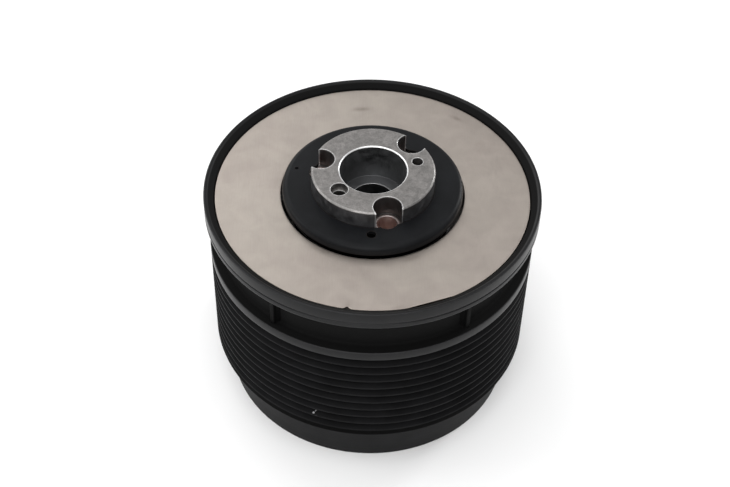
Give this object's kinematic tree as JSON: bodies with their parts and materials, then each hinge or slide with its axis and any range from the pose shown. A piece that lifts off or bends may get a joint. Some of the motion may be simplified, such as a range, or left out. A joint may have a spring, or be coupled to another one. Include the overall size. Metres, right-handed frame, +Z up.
{
  "type": "electromagnetic clutch",
  "caption": "Electromagnetic clutch for a multi-rib belt: pulley on a bearing, sprung armature ring, bored hub with notches, and a still coil housing.",
  "frame": {"origin": "centre of the base face of the still coil housing, on the shaft axis", "axes": "+Z up along the shaft axis from the coil housing towards the hub; +Y towards the coil's lead outlet"},
  "size_m": [0.107, 0.107, 0.0848],
  "materials": {
    "field_coating": "thin dark electrocoat on turned steel",
    "bobbin_nylon": "moulded glass-filled nylon",
    "copper_wire": "enamelled copper winding wire",
    "potting_resin": "cast epoxy",
    "grommet_rubber": "moulded rubber",
    "bearing_steel": "ground bearing steel",
    "ball_steel": "polished bearing steel",
    "cage_nylon": "moulded nylon cage",
    "shield_steel": "pressed thin steel",
    "spring_steel": "phosphated spring steel",
    "hub_steel": "turned bare steel",
    "cover_coating": "black satin coating on pressed steel",
    "rivet_steel": "zinc-plated rivet steel",
    "ground_steel": "surface-ground low-carbon steel, lightly stained",
    "seal_rubber": "moulded nitrile rubber",
    "pulley_coating": "thin black electrocoat over turned metal",
    "rotor_steel": "machined low-carbon steel",
    "friction_composite": "moulded friction lining"
  },
  "bodies": {
    "field": {"field_shell": "field_coating", "coil_bobbin": "bobbin_nylon", "coil_winding": "copper_wire", "coil_potting": "potting_resin", "lead_grommet": "grommet_rubber", "field_bearing_outer_ring": "bearing_steel", "field_bearing_shields": "shield_steel", "field_bore_circlip": "spring_steel"},
    "field_balls": {"field_bearing_balls": "ball_steel", "field_bearing_cage": "cage_nylon"},
    "hub": {"hub": "hub_steel", "cover_plate": "cover_coating", "spacer_sleeve": "hub_steel", "hub_rivets": "rivet_steel", "field_bearing_inner_ring": "bearing_steel", "main_bearing_inner_ring": "bearing_steel", "sleeve_end_circlip": "spring_steel", "sleeve_bearing_circlip": "spring_steel"},
    "armature": {"armature_plate": "ground_steel", "armature_rivets": "rivet_steel", "leaf_springs": "spring_steel"},
    "main_balls": {"main_bearing_balls": "ball_steel", "main_bearing_lower_cage": "cage_nylon", "main_bearing_upper_cage": "cage_nylon"},
    "rotor": {"pulley_shell": "pulley_coating", "rotor_disc": "rotor_steel", "friction_ring": "friction_composite", "main_bearing_outer_ring": "bearing_steel", "main_bearing_seals": "seal_rubber", "rotor_bore_circlip": "spring_steel"}
  },
  "joints": [
    {"name": "hub_spin", "type": "hinge", "parent": "field", "child": "hub", "pos_m": [0, 0, 0], "axis": [0, 0, 1], "continuous": true},
    {"name": "rotor_spin", "type": "hinge", "parent": "hub", "child": "rotor", "pos_m": [0, 0, 0], "axis": [0, 0, 1], "continuous": true},
    {"name": "field_balls_spin", "type": "hinge", "parent": "field", "child": "field_balls", "pos_m": [0, 0, 0], "axis": [0, 0, 1], "continuous": true},
    {"name": "main_balls_spin", "type": "hinge", "parent": "hub", "child": "main_balls", "pos_m": [0, 0, 0], "axis": [0, 0, 1], "continuous": true},
    {"name": "armature_pull", "type": "slide", "parent": "hub", "child": "armature", "axis": [0, 0, 1], "range_m": [-0.0005, 0], "stiffness_N_per_m": 20000, "springref_m": 0.0002, "deforming": ["leaf_springs"]}
  ],
  "couplings": [
    {"joint": "field_balls_spin", "follows": "hub_spin", "ratio": 0.4377},
    {"joint": "main_balls_spin", "follows": "rotor_spin", "ratio": 0.5706}
  ]
}
